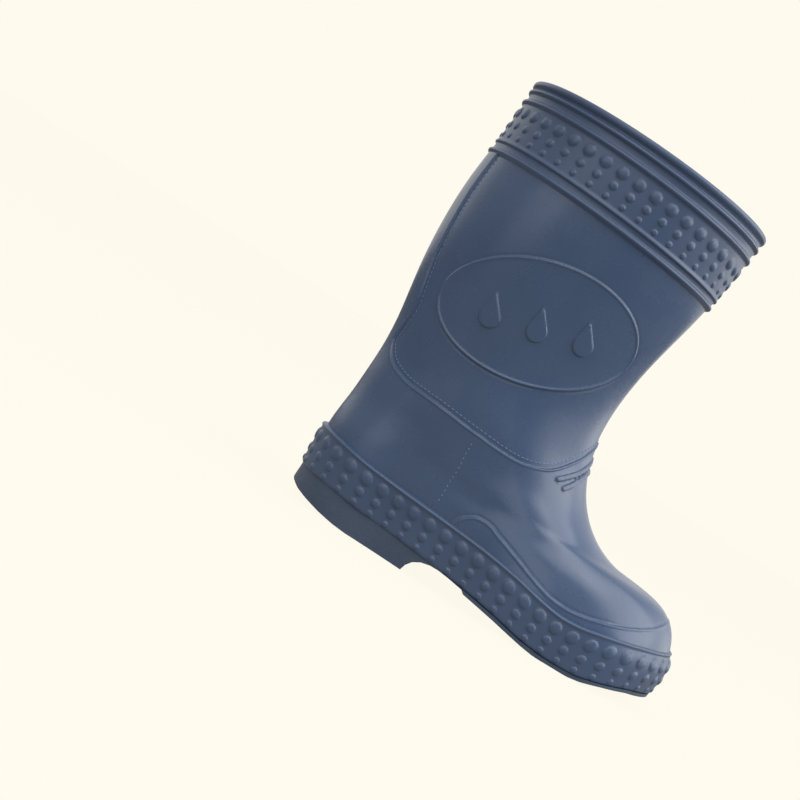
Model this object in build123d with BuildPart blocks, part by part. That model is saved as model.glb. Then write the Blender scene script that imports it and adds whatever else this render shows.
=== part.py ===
"""Child's rain boot for the right foot, about EU size 19/20: moulded leg and foot with laid-on
bands, moulded sole with heel and tread, textile lining and a loose insole.

Frame: +X towards the toe, -Y towards the outer side of the foot, +Z up, Z = 0 on the ground.
Sizes are in mm. In the tables, x is the distance forward of the back of the heel.
"""
import os
from math import acos, atan2, cos, degrees, hypot, pi, radians, sin, sqrt

from build123d import *

os.makedirs("parts", exist_ok=True)

# ---- driving dimensions -------------------------------------------------------------------
heel_to_centre = 70.65      # back of the heel to the middle of the overall length
wall = 2.4                  # leg and foot moulding
lining_cloth = 0.8          # textile lining
bottom_wall = 2.0           # moulding under the foot
insole_foam_height = 2.6
insole_cloth_height = 0.6
overlay_height = 0.5        # vamp and counter piece above the leg surface
guard_height = 1.1          # toe guard above the leg surface
bar_height = 1.3            # instep bars above the leg surface
bar_width = 2.0
badge_height = 0.5
badge_relief = 0.5
band_height = 1.8           # foxing band above the leg surface
band_bead_height = 2.4
collar_height = 0.6
collar_bead_height = 1.5
rim_bead_height = 1.6
rim_bead_depth = 2.2
stud_seat = 0.02            # clearance of a stud's flat base at its middle
heel_flange = 1.1           # heel block beyond the leg surface
outsole_flange = 1.7        # forefoot outsole beyond the leg surface
tread_depth = 1.5
rib_width = 1.25
rim_back_z = 160.07         # height of the rim plane over x = 0
rim_slope = -0.05205        # fall of the rim plane per mm forward
around = 28                 # points on each section of the leg and foot

# ---- sections of the leg and foot ---------------------------------------------------------
# Each section lies in a plane that runs across the boot, from a point on the back line to a
# point on the front line. Columns: back (x, z), front (x, z), length of the rounded heel end
# and toe end, half-width at heel, waist and ball, and how far the foot's curve is followed.
SECTIONS = [
    ((1.8, -4.0), (139.4, -4.0), 23, 35, 20.6, 21.9, 28.4, 1.0),
    ((1.8, 3.0), (139.4, 1.0), 23, 35, 20.6, 21.9, 28.4, 1.0),
    ((1.8, 8.5), (139.5, 6.5), 23, 35, 20.7, 22.0, 28.6, 1.0),
    ((1.8, 13.0), (140.2, 12.0), 23, 35, 20.9, 22.1, 28.8, 1.0),
    ((1.6, 17.5), (140.2, 17.0), 23, 35, 21.2, 22.3, 28.8, 1.0),
    ((1.5, 22.0), (139.3, 22.3), 23.5, 36, 21.5, 22.4, 28.2, 1.0),
    ((1.4, 26.5), (136.2, 28.4), 24, 38, 21.5, 22.4, 27.2, 1.0),
    ((1.6, 30.5), (130.6, 32.7), 25, 43, 21.7, 22.5, 26.2, 0.95),
    ((2.0, 34.5), (121.8, 34.4), 27, 50, 22.0, 22.9, 25.4, 0.9),
    ((2.5, 39.0), (111.3, 34.6), 29, 50, 22.4, 23.6, 24.8, 0.8),
    ((2.8, 44.0), (101.2, 37.9), 31, 50, 22.9, 24.1, 24.8, 0.7),
    ((3.0, 49.5), (93.1, 43.8), 33, 46.6, 23.7, 24.6, 25.0, 0.6),
    ((3.2, 55.5), (87.1, 51.3), 36, 43, 24.5, 25.2, 25.4, 0.45),
    ((3.1, 62.0), (83.1, 59.7), 39, 40.9, 25.5, 25.9, 25.9, 0.3),
    ((2.4, 70.0), (81.1, 69.4), 39.4, 39.4, 26.8, 26.8, 26.8, 0.15),
    ((0.9, 79.0), (80.6, 79.5), 39.9, 39.9, 28.4, 28.4, 28.4, 0),
    ((-0.8, 89.5), (81.4, 90.0), 41.1, 41.1, 30.0, 30.0, 30.0, 0),
    ((-1.8, 100.5), (83.1, 100.5), 42.5, 42.5, 31.8, 31.8, 31.8, 0),
    ((-2.2, 112.0), (85.6, 111.5), 43.9, 43.9, 33.5, 33.5, 33.5, 0),
    ((-1.9, 123.0), (87.9, 121.5), 44.9, 44.9, 34.8, 34.8, 34.8, 0),
    ((-0.7, 133.0), (89.3, 130.5), 45.1, 45.1, 35.8, 35.8, 35.8, 0),
    ((0.2, 142.5), (90.3, 139.0), 45.1, 45.1, 36.6, 36.6, 36.6, 0),
    ((0.9, 152.0), (91.1, 147.6), 45.2, 45.2, 37.1, 37.1, 37.1, 0),
    ((1.5, 162.0), (91.8, 157.2), 45.3, 45.3, 37.5, 37.5, 37.5, 0),
    ((2.0, 171.0), (92.4, 166.2), 45.3, 45.3, 37.7, 37.7, 37.7, 0),
]

# ---- side-view lines, (x, z) --------------------------------------------------------------
FOXING_TOP = [(-8, 25.9), (0, 25.4), (30, 23.6), (55, 21.4), (80, 17.9), (97, 15.8), (106, 15.7),
              (116, 16.7), (130, 19.7), (141, 21.7), (150, 22.6)]
FOXING_BOTTOM = [(-8, 10.9), (0, 10.5), (30, 9.0), (46, 7.9), (58.5, 6.75), (68, 5.8), (80, 4.2),
                 (90, 2.2), (98, 1.3), (104, 1.15), (112, 1.5), (121, 3.5), (130, 5.6),
                 (142, 6.6), (150, 6.8)]
UPPER_BOTTOM = [(-8, 13.0), (0, 13.0), (30, 12.7), (46, 11.9), (60, 10.7), (80, 8.2), (96, 5.9),
                (104, 5.5), (114, 6.2), (130, 9.3), (142, 10.6), (150, 11.0)]
HEEL_TOP = [(-8, 10.9), (0, 10.5), (30, 9.0), (46, 7.9), (58.5, 6.75)]
HEEL_GROUND = [(-8, 8.0), (-1, 6.2), (1.2, 4.4), (4, 3.2), (8, 2.3), (14, 1.2), (20, 0.35),
               (25, 0), (46.6, 0), (47.2, 2.2), (48.6, 4.2), (51, 5.7), (54, 6.5), (58.5, 6.75)]
OUTSOLE_TOP = [(58.5, 8.8), (66.5, 7.8), (80, 6.1), (90, 4.2), (97, 3.3), (104, 3.1), (112, 3.5),
               (121, 5.4), (130, 7.5), (142, 8.5), (150, 8.7)]
OUTSOLE_GROUND = [(58.5, 6.75), (66.4, 5.7), (67.6, 4.7), (74, 3.8), (80, 2.9), (86, 1.8),
                  (92, 0.7), (96, 0.15), (100, -0.1), (106, -0.1), (110, 0.1), (114, 0.7),
                  (121, 2.5), (130, 4.4), (142, 5.3), (150, 5.4)]
SEAM = [(1.6, 131.5), (-0.1, 116), (1.4, 91), (3.4, 72), (5.5, 61.3), (8.6, 56.0), (14, 53.4),
        (29.2, 52.0), (45.2, 50.7), (58, 50.1), (66, 51.9), (72.4, 56.2), (78.4, 62.7),
        (82.2, 69.0), (90, 80)]
GUARD_EDGE = [(52, 19.5), (54, 22.4), (57, 26.0), (61.3, 27.9), (65, 27.4), (69.2, 26.0),
              (77.2, 22.9), (85, 20.2), (92.9, 18.8), (100.9, 18.8), (109.2, 20.1),
              (118, 22.6), (125.8, 25.6), (131.5, 29.4), (138, 35)]

OUTSOLE_EDGE = [(58.5, 6.76)] + FOXING_BOTTOM[5:]
BARS = [
    [(68.5, 51.4), (72.6, 54.4), (78.9, 61.0), (83.0, 67.4), (92, 80)],
    [(73.7, 52.3), (77.5, 56.0), (83.4, 63.9), (92, 76)],
    [(77.5, 49.9), (80.6, 53.2), (84.4, 59.0), (93, 72)],
]

# ---- badge on the outer side of the leg ---------------------------------------------------
badge_x = 42.2
badge_z = 91.0
badge_half_length = 33.5
badge_half_height = 20.2
badge_tilt = 14.7
drop_pitch = 15.5
drop_radius = 3.6
drop_height = 12.5

# ---- sole pattern, (x, y) seen in plan ----------------------------------------------------
TREAD_FIELD = [(133.5, -17.8), (131.1, -12.1), (134.3, -2.8), (134.1, -0.4), (129.7, 11.6),
               (131.4, 16.6), (121, 23.0), (113, 25.6), (105, 26.9), (94, 26.0), (86, 23.4),
               (79.0, 20.0), (76.3, 9.4), (74.8, 4.8), (78.5, -3.3), (71.7, -14.9),
               (67.2, -19.3), (63.0, -27.2), (78, -30.6), (92, -31.8), (107, -31.2),
               (120, -27.8), (128, -23.4)]
OUTER_CHANNEL = [(129.0, -16.3), (120.9, -19.5), (106.2, -22.0), (91.3, -22.2), (79.2, -20.4),
                 (68.0, -17.2)]
INNER_CHANNEL = [(127.3, 11.4), (117.5, 14.4), (107.5, 15.6), (97.7, 14.3), (88.1, 10.8),
                 (74.3, 4.7)]
HEEL_FIELD = [(12.4, -15.8), (15.7, -6.4), (14.9, 2.4), (17.5, 11.1), (16.0, 19.2), (24, 20.6),
              (34, 20.3), (44.6, 19.2), (43.6, -20.8), (34, -20.9), (24, -20.6), (17, -18.8)]


# ---- helpers ------------------------------------------------------------------------------
def ease(t):
    """Smooth step from 0 to 1."""
    t = max(0.0, min(1.0, t))
    return t * t * (3 - 2 * t)


def section_point(section, turn):
    """Point on one section: turn 0 is the back, 0.5 the front; the outer side comes first."""
    (xb, zb), (xf, zf), heel_end, toe_end, heel_w, waist_w, ball_w, follow = section
    length = hypot(xf - xb, zf - zb)
    u = (1 - cos(2 * pi * turn)) / 2
    along = u * length
    heel_round = sqrt(max(0.0, 1 - max(0.0, 1 - along / heel_end) ** 2))
    toe_round = sqrt(max(0.0, 1 - max(0.0, 1 - (length - along) / toe_end) ** 2))
    width = heel_w + (waist_w - heel_w) * ease((u - 0.18) / 0.2)
    width += (ball_w - waist_w) * ease((u - 0.36) / 0.3)
    bend = 4.6 * ease((u - 0.2) / 0.25) - 2.4 * ease((u - 0.55) / 0.2)
    bend -= 2.2 * ease((u - 0.85) / 0.15)
    side = -1 if turn <= 0.5 else 1
    return along, side * width * heel_round * toe_round - follow * bend


def moved(points, index, distance, sign):
    """A profile point moved square to its profile line."""
    before = points[max(index - 1, 0)]
    after = points[min(index + 1, len(points) - 1)]
    dx = after[0] - before[0]
    dz = after[1] - before[1]
    size = hypot(dx, dz)
    x, z = points[index]
    return x + sign * distance * dz / size, z - sign * distance * dx / size


def grown(distance):
    """The sections offset outwards (or inwards, when negative)."""
    backs = [s[0] for s in SECTIONS]
    fronts = [s[1] for s in SECTIONS]
    rows = []
    for i, s in enumerate(SECTIONS):
        back = moved(backs, i, distance, -1)
        front = moved(fronts, i, distance, 1)
        ends = [s[2] + distance, s[3] + distance]
        widths = [w + distance for w in s[4:7]]
        rows.append((back, front, *ends, *widths, s[7]))
    return rows


def skin(distance=0.0):
    """Solid inside the leg-and-foot surface offset by distance."""
    with BuildPart() as solid:
        for row in grown(distance):
            (xb, zb), (xf, zf) = row[0], row[1]
            across = Plane(origin=(xb - heel_to_centre, 0, zb), x_dir=(xf - xb, 0, zf - zb),
                           z_dir=(zb - zf, 0, xf - xb))
            with BuildSketch(across):
                with BuildLine():
                    add(Edge.make_spline(
                        [Vector(*section_point(row, k / around)) for k in range(around)],
                        periodic=True, parameters=[k / around for k in range(around + 1)]))
                make_face()
        loft()
    return solid.part


def side_line(points, smooth):
    """One side-view line, inside a BuildLine."""
    shifted = [(x - heel_to_centre, z) for x, z in points]
    if smooth and len(shifted) > 2:
        Spline(*shifted)
    else:
        Polyline(*shifted)


def strip(low, high, smooth_low=True, smooth_high=True, reach=60.0):
    """Slab across the boot between two side-view lines."""
    with BuildPart() as slab:
        with BuildSketch(Plane.XZ):
            with BuildLine():
                side_line(low, smooth_low)
                side_line(high, smooth_high)
                for end in (0, -1):
                    if low[end] != high[end]:
                        Line((low[end][0] - heel_to_centre, low[end][1]),
                             (high[end][0] - heel_to_centre, high[end][1]))
            make_face()
        extrude(amount=reach, both=True)
    return slab.part


def below_rim(depth):
    """Line parallel to the rim plane, a given depth under it."""
    return [(x, rim_back_z + rim_slope * x - depth) for x in (-14, 110)]


def raised(points, rise):
    """Side-view line moved up."""
    return [(x, z + rise) for x, z in points]


def cut_between(solid, slab):
    """The part of a solid inside a slab."""
    with BuildPart() as piece:
        add(solid)
        add(slab, mode=Mode.INTERSECT)
    return piece.part


def line_z(points, x):
    """Height of a line at x."""
    for (xa, za), (xb, zb) in zip(points, points[1:]):
        if xa <= x <= xb:
            return za + (zb - za) * (x - xa) / (xb - xa)
    return points[-1][1]


def row_between(low, high, share):
    """Section between two neighbouring rows."""
    flat = [*low[0], *low[1], *low[2:]]
    other = [*high[0], *high[1], *high[2:]]
    mixed = [p + (q - p) * share for p, q in zip(flat, other)]
    return ((mixed[0], mixed[1]), (mixed[2], mixed[3]), *mixed[4:])


def point_on(row, turn):
    """Point in the boot's frame on one section row."""
    (xb, zb), (xf, zf) = row[0], row[1]
    along, y = section_point(row, turn)
    share = along / hypot(xf - xb, zf - zb)
    return Vector(xb + (xf - xb) * share - heel_to_centre, y, zb + (zf - zb) * share)


def point_at(rows, turn, line):
    """Point of the surface on one turn where it crosses a side-view line."""
    for low, high in zip(rows, rows[1:]):
        a = point_on(low, turn)
        b = point_on(high, turn)
        ha = a.Z - line_z(line, a.X + heel_to_centre)
        hb = b.Z - line_z(line, b.X + heel_to_centre)
        if ha <= 0 < hb:
            return point_on(row_between(low, high, ha / (ha - hb)), turn)
    raise ValueError("the line misses the surface")


def stud_planes(rows, line, count, fine=360):
    """Planes standing on the surface, evenly spaced round the boot."""
    loop = [point_at(rows, k / fine, line) for k in range(fine)]
    gone = [0.0]
    for a, b in zip(loop, loop[1:] + loop[:1]):
        gone.append(gone[-1] + (b - a).length)
    planes = []
    for n in range(count):
        target = n * gone[-1] / count
        k = max(i for i in range(fine) if gone[i] <= target)
        share = (target - gone[k]) / (gone[k + 1] - gone[k])
        step = loop[(k + 1) % fine] - loop[k]
        outward = Vector(step.Y, -step.X, 0).normalized()
        planes.append(Plane(origin=loop[k] + step * share, z_dir=outward))
    return planes


def stud_row(rows, line, count, radius, height):
    """Low round studs standing on the surface along a side-view line."""
    planes = stud_planes(rows, line, count)
    return [Solid.make_cone(radius, radius * 0.55, height, plane=plane.offset(stud_seat))
            for plane in planes]


def rib(start, end, width):
    """Straight tread rib with round ends, inside a BuildSketch."""
    dx = end[0] - start[0]
    dy = end[1] - start[1]
    middle = ((start[0] + end[0]) / 2 - heel_to_centre, (start[1] + end[1]) / 2)
    with Locations(middle):
        SlotCenterToCenter(hypot(dx, dy), width, rotation=degrees(atan2(dy, dx)),
                           mode=Mode.SUBTRACT)


def curve_rib(points, width):
    """Bent tread rib with round ends, inside a BuildSketch."""
    for start, end in zip(points, points[1:]):
        rib(start, end, width)


def curve_y(points, x):
    """Sideways position of a plan curve at x (the curve may run either way)."""
    return line_z(sorted(points), x)


def bar_slab(points):
    """Slab across the boot along one instep bar, seen from the side."""
    with BuildPart() as slab:
        with BuildSketch(Plane.XZ):
            for start, end in zip(points, points[1:]):
                dx = end[0] - start[0]
                dz = end[1] - start[1]
                middle = ((start[0] + end[0]) / 2 - heel_to_centre, (start[1] + end[1]) / 2)
                with Locations(middle):
                    SlotCenterToCenter(hypot(dx, dz), bar_width, rotation=degrees(atan2(dz, dx)))
        extrude(amount=60, both=True)
    return slab.part


def badge_spot(along, up):
    """Side-view position on the badge, along and across its long axis."""
    turn = radians(badge_tilt)
    return (badge_x - heel_to_centre + along * cos(turn) - up * sin(turn),
            badge_z + along * sin(turn) + up * cos(turn))


def raindrop():
    """Drop outline, tip up, leaning with the badge; inside a BuildSketch."""
    low = -(drop_height - 2 * drop_radius) / 2
    touch = acos(drop_radius / (drop_height - drop_radius))
    side = (drop_radius * sin(touch), low + drop_radius * cos(touch))
    with BuildSketch(mode=Mode.PRIVATE) as drop:
        with Locations((0, low)):
            Circle(drop_radius)
        Polygon((0, low + drop_height - drop_radius), (-side[0], side[1]), (0, low), side,
                align=None)
    add(drop.sketch, rotation=badge_tilt)


def heel_ribs():
    """Ribs left standing in the heel field, inside a BuildSketch."""
    curve_rib([(43.9, -9.6), (15.2, -6.4)], rib_width)
    curve_rib([(45.5, 8.9), (17.0, 11.1)], rib_width)
    curve_rib([(40.0, 0.4), (14.4, 2.4)], rib_width)
    for n in range(8):
        x = 41.4 - 3.3 * n
        rib((x, -11.4 + 0.09 * n), (x - 1.6, -21.5), rib_width)
    for n in range(8):
        x = 42.2 - 3.15 * n
        rib((x, 11.0 + 0.12 * n), (x + 0.4, 21.5), rib_width)
    for n in range(6):
        x = 40.0 - 4.3 * n
        rib((x, 0.4 + 0.33 * n), (x + 2.6, -6.4 + 0.33 * n), rib_width)
        rib((x, 0.4 + 0.33 * n), (x + 2.2, 6.4 + 0.33 * n), rib_width)


def forefoot_ribs():
    """Ribs left standing in the forefoot field, inside a BuildSketch."""
    curve_rib(OUTER_CHANNEL, rib_width)
    curve_rib(INNER_CHANNEL, rib_width)
    rib((134.5, -0.4), (79.4, -2.4), rib_width)
    for n in range(17):
        x = 126.8 - 3.75 * n
        rib((x, curve_y(OUTER_CHANNEL, x) - 1.9), (x - 0.16 * n, -34), rib_width)
    for n in range(14):
        x = 127.2 - 3.7 * n
        rib((x, curve_y(INNER_CHANNEL, x) + 1.9), (x + 0.05 * n, 30), rib_width)
    for n in range(12):
        x = 130.5 - 4.3 * n
        start = (x, -0.5 - 0.036 * (134 - x))
        reach = min(13.2, 5.0 + 3.4 * n) if n < 3 else 13.2 - 0.25 * n
        rib(start, (x - 0.55 * reach, start[1] - reach), rib_width)
        reach = min(11.0, 3.6 + 3.2 * n) if n < 7 else 11.6 - 1.6 * (n - 6)
        rib(start, (x - 0.45 * reach, start[1] + reach), rib_width)


# ---- shared solids ------------------------------------------------------------------------
leg_surface = skin()
cavity = skin(-wall)
sock_room = skin(-wall - lining_cloth)
overlay_surface = skin(overlay_height)
floor = raised(UPPER_BOTTOM, bottom_wall)
sock_floor = raised(floor, lining_cloth)
foam_top = raised(sock_floor, insole_foam_height)
cloth_top = raised(foam_top, insole_cloth_height)
rim = below_rim(0)
under_bead = below_rim(rim_bead_depth)

# ---- leg and foot -------------------------------------------------------------------------
with BuildPart() as upper_shell:
    add(leg_surface)
    add(strip(UPPER_BOTTOM, under_bead), mode=Mode.INTERSECT)
    add(cut_between(cavity, strip(floor, below_rim(-3))), mode=Mode.SUBTRACT)

with BuildPart() as rim_bead:
    add(skin(rim_bead_height))
    add(strip(under_bead, rim), mode=Mode.INTERSECT)
    add(cavity, mode=Mode.SUBTRACT)
    top_edges = rim_bead.faces().sort_by(Axis.Z)[-1].edges()
    fillet(top_edges, radius=0.9)

# ---- collar -------------------------------------------------------------------------------
with BuildPart() as collar_band:
    add(cut_between(skin(collar_height), strip(below_rim(24.9), under_bead)))
    add(cut_between(skin(collar_height - 0.25), strip(below_rim(29.0), below_rim(24.9))))
    for depth in (3.85, 7.75):
        ring = strip(below_rim(depth + 1.7), below_rim(depth))
        add(cut_between(skin(collar_bead_height), ring))
    add(cut_between(skin(collar_height + 0.35), strip(below_rim(29.0), below_rim(27.4))))
    add(leg_surface, mode=Mode.SUBTRACT)

with BuildPart() as collar_studs:
    rows = grown(collar_height)
    add(stud_row(rows, below_rim(12.8), 40, 1.95, 0.75))
    add(stud_row(rows, below_rim(18.0), 40, 1.3, 0.6))
    add(stud_row(rows, below_rim(22.2), 40, 0.95, 0.5))

# ---- laid-on pieces of the leg and foot ---------------------------------------------------
with BuildPart() as vamp_and_counter:
    add(overlay_surface)
    add(strip(FOXING_TOP, [(-8, 131.5)] + SEAM, smooth_high=False), mode=Mode.INTERSECT)
    add(leg_surface, mode=Mode.SUBTRACT)

with BuildPart() as toe_guard:
    add(skin(guard_height))
    add(strip([(52, 12), (140, 12)], GUARD_EDGE, smooth_high=False), mode=Mode.INTERSECT)
    add(strip(FOXING_TOP, [(-8, 60), (150, 60)]), mode=Mode.INTERSECT)
    add(overlay_surface, mode=Mode.SUBTRACT)

with BuildPart() as instep_bars:
    for bar in BARS:
        add(cut_between(skin(bar_height), bar_slab(bar)))
    add(overlay_surface, mode=Mode.SUBTRACT)

with BuildPart() as badge_plaque:
    add(skin(badge_height))
    with BuildSketch(Plane.XZ.offset(5)):
        with Locations((badge_x - heel_to_centre, badge_z)):
            Ellipse(badge_half_length, badge_half_height, rotation=badge_tilt)
    extrude(amount=50, mode=Mode.INTERSECT)
    add(leg_surface, mode=Mode.SUBTRACT)

with BuildPart() as badge_raindrops:
    add(skin(badge_height + badge_relief))
    with BuildSketch(Plane.XZ.offset(5)):
        for step in (-1, 0, 1):
            with Locations(badge_spot(step * drop_pitch, 0)):
                raindrop()
    extrude(amount=50, mode=Mode.INTERSECT)
    add(skin(badge_height), mode=Mode.SUBTRACT)

# ---- foxing band --------------------------------------------------------------------------
with BuildPart() as foxing_band:
    add(cut_between(skin(band_height), strip(FOXING_BOTTOM, FOXING_TOP)))
    add(cut_between(skin(band_bead_height), strip(raised(FOXING_TOP, -1.7), FOXING_TOP)))
    add(leg_surface, mode=Mode.SUBTRACT)

with BuildPart() as foxing_studs:
    rows = grown(band_height)
    add(stud_row(rows, raised(FOXING_TOP, -4.4), 52, 2.1, 0.8))
    add(stud_row(rows, raised(FOXING_TOP, -9.0), 52, 1.45, 0.7))
    add(stud_row(rows, raised(FOXING_TOP, -12.6), 52, 1.0, 0.6))

# ---- sole ---------------------------------------------------------------------------------
with BuildPart() as sole_core:
    add(leg_surface)
    add(strip(HEEL_TOP + OUTSOLE_TOP, UPPER_BOTTOM, smooth_low=False), mode=Mode.INTERSECT)

with BuildPart() as heel_block:
    add(skin(heel_flange))
    add(strip(HEEL_GROUND, HEEL_TOP, smooth_low=False, smooth_high=False), mode=Mode.INTERSECT)
    with BuildSketch() as heel_grooves:
        with BuildLine():
            Polyline(*[(x - heel_to_centre, y) for x, y in HEEL_FIELD], close=True)
        make_face()
        heel_ribs()
    extrude(amount=tread_depth, mode=Mode.SUBTRACT)

with BuildPart() as groove_cutter:
    with BuildSketch():
        with BuildLine():
            Polyline(*[(x - heel_to_centre, y) for x, y in TREAD_FIELD], close=True)
        make_face()
        forefoot_ribs()
    extrude(amount=12)
    add(strip(raised(OUTSOLE_GROUND, -3), raised(OUTSOLE_GROUND, tread_depth),
              smooth_low=False, smooth_high=False), mode=Mode.INTERSECT)

with BuildPart() as forefoot_outsole:
    add(cut_between(leg_surface, strip(OUTSOLE_GROUND, OUTSOLE_TOP, False, False)))
    add(cut_between(skin(outsole_flange), strip(OUTSOLE_GROUND, OUTSOLE_EDGE, False, False)))
    add(groove_cutter, mode=Mode.SUBTRACT)
    with Locations((0, 0, -5)):
        Box(200, 100, 10, mode=Mode.SUBTRACT)

# ---- inside -------------------------------------------------------------------------------
with BuildPart() as lining:
    add(cavity)
    add(strip(floor, below_rim(4.0)), mode=Mode.INTERSECT)
    add(cut_between(sock_room, strip(sock_floor, below_rim(-3))), mode=Mode.SUBTRACT)

with BuildPart() as insole_foam:
    add(sock_room)
    add(strip(sock_floor, foam_top), mode=Mode.INTERSECT)

with BuildPart() as insole_cloth:
    add(sock_room)
    add(strip(foam_top, cloth_top), mode=Mode.INTERSECT)

# ---- hand-in ------------------------------------------------------------------------------
PIECES = {
    "upper_shell": upper_shell,
    "rim_bead": rim_bead,
    "collar_band": collar_band,
    "collar_studs": collar_studs,
    "vamp_and_counter": vamp_and_counter,
    "toe_guard": toe_guard,
    "instep_bars": instep_bars,
    "badge_plaque": badge_plaque,
    "badge_raindrops": badge_raindrops,
    "foxing_band": foxing_band,
    "foxing_studs": foxing_studs,
    "sole_core": sole_core,
    "heel_block": heel_block,
    "forefoot_outsole": forefoot_outsole,
    "lining": lining,
    "insole_foam": insole_foam,
    "insole_cloth": insole_cloth,
}
for name, piece in PIECES.items():
    piece.part.label = name
    export_step(piece.part, f"parts/{name}.step")
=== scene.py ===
from math import cos, pi, radians, sin, sqrt

import bpy
import numpy as np
from mathutils import Matrix, Vector


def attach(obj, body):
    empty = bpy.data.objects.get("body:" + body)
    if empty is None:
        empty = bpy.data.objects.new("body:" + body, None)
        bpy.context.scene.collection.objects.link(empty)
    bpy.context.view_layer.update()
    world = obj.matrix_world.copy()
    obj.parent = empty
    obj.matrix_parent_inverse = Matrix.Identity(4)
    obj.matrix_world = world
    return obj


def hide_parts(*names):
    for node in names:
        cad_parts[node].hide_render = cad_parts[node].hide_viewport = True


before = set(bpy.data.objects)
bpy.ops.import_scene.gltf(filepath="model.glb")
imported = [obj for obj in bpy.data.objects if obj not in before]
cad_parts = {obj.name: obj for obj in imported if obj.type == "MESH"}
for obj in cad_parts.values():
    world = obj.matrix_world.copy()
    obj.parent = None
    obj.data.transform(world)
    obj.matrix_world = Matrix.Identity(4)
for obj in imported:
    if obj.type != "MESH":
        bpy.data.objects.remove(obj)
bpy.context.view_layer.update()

# ---------------------------------------------------------------- outlines (mm, x from the heel)
MID_X = 70.65  # the frame's origin, from the heel

# Tilted sections from the sole up to the rim. Each row: back end x, z; front end x, z; rounding
# length at the heel and at the toe; half width at the heel, waist and ball; share of the foot's bend.
SECTIONS = np.array([
    (1.8, -4.0, 139.4, -4.0, 23, 35, 20.6, 21.9, 28.4, 1.0),
    (1.8, 3.0, 139.4, 1.0, 23, 35, 20.6, 21.9, 28.4, 1.0),
    (1.8, 8.5, 139.5, 6.5, 23, 35, 20.7, 22.0, 28.6, 1.0),
    (1.8, 13.0, 140.2, 12.0, 23, 35, 20.9, 22.1, 28.8, 1.0),
    (1.6, 17.5, 140.2, 17.0, 23, 35, 21.2, 22.3, 28.8, 1.0),
    (1.5, 22.0, 139.3, 22.3, 23.5, 38, 21.5, 22.4, 27.8, 0.94),
    (1.4, 26.5, 136.2, 28.4, 24, 42, 21.5, 22.4, 26.8, 0.84),
    (1.6, 30.5, 130.6, 32.7, 25, 45, 21.7, 22.5, 26.0, 0.74),
    (2.0, 34.5, 121.8, 34.4, 27, 44, 22.0, 22.9, 25.5, 0.65),
    (2.5, 39.0, 111.3, 34.6, 29, 40, 22.4, 23.6, 25.3, 0.57),
    (2.8, 44.0, 101.2, 37.9, 31, 36.5, 22.9, 24.1, 25.2, 0.5),
    (3.0, 49.5, 93.1, 43.8, 33, 35.5, 23.7, 24.6, 25.3, 0.43),
    (3.2, 55.5, 87.1, 51.3, 36, 36, 24.5, 25.2, 25.5, 0.35),
    (3.1, 62.0, 83.1, 59.7, 39, 38, 25.5, 25.9, 25.9, 0.26),
    (2.4, 70.0, 81.1, 69.4, 39.4, 39.4, 26.8, 26.8, 26.8, 0.15),
    (0.9, 79.0, 80.6, 79.5, 39.9, 39.9, 28.4, 28.4, 28.4, 0),
    (-0.8, 89.5, 81.4, 90.0, 41.1, 41.1, 30.0, 30.0, 30.0, 0),
    (-1.8, 100.5, 83.1, 100.5, 42.5, 42.5, 31.8, 31.8, 31.8, 0),
    (-2.2, 112.0, 85.6, 111.5, 43.9, 43.9, 33.5, 33.5, 33.5, 0),
    (-1.9, 123.0, 87.9, 121.5, 44.9, 44.9, 34.8, 34.8, 34.8, 0),
    (-0.7, 133.0, 89.3, 130.5, 45.1, 45.1, 35.8, 35.8, 35.8, 0),
    (0.2, 142.5, 90.3, 139.0, 45.1, 45.1, 36.6, 36.6, 36.6, 0),
    (0.9, 152.0, 91.1, 147.6, 45.2, 45.2, 37.1, 37.1, 37.1, 0),
    (1.5, 162.0, 91.8, 157.2, 45.3, 45.3, 37.5, 37.5, 37.5, 0),
    (2.0, 171.0, 92.4, 166.2, 45.3, 45.3, 37.7, 37.7, 37.7, 0),
])
LAST = len(SECTIONS) - 1

# side-view lines as (x, z) points
FOXING_TOP = np.array([(-8, 26.9), (0, 26.1), (9, 25.0), (20, 23.6), (30, 22.9), (45, 22.1),
                       (55, 21.5), (68, 20.5), (80, 18.8), (90, 16.8), (97, 15.9), (104, 16.1),
                       (111, 17.2), (120, 18.8), (130, 20.5), (141, 21.9), (150, 22.6)], float)
FOXING_BOTTOM = np.array([(-8, 10.9), (0, 10.5), (10, 9.9), (30, 8.1), (44, 7.5), (58.5, 6.5),
                          (68, 5.7), (80, 4.2), (90, 2.2), (98, 1.3), (104, 1.15), (112, 1.5),
                          (121, 3.5), (130, 5.6), (142, 6.6), (150, 6.8)], float)
SEAM = [(5.5, 61.3), (8.6, 56.0), (14, 53.4), (29.2, 52.0), (45.2, 50.7), (56, 50.1),
        (61, 50.3), (64.4, 51.0), (67.7, 52.0), (70.5, 53.3), (73.3, 55.6), (75.7, 58.3),
        (78.1, 61.3), (80.0, 64.7)]
GUARD = [(51.8, 19.6), (53.2, 23.2), (56.4, 26.7), (59.4, 28.1), (62.4, 28.2), (68.1, 26.5),
         (77.5, 23.4), (86.9, 20.2), (91.3, 19.1), (96.8, 18.6), (102.8, 19.1), (109.6, 20.5),
         (116.2, 22.3), (122.8, 24.7), (127.4, 26.8), (130.7, 28.9)]
# instep bars: side-view points, and the section number where the bar meets the front
BARS = [([(74.5, 51.7), (76.5, 53.3), (78.4, 55.0), (80.2, 57.0), (81.8, 59.6)], 13.3),
        ([(77.9, 50.0), (79.8, 52.1), (81.6, 54.8), (82.7, 57.0)], 12.86)]
RIM_Z = 160.07  # rim height over the heel
RIM_SLOPE = -0.05205


def ease(t):
    t = np.clip(t, 0.0, 1.0)
    return t * t * (3 - 2 * t)


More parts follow.
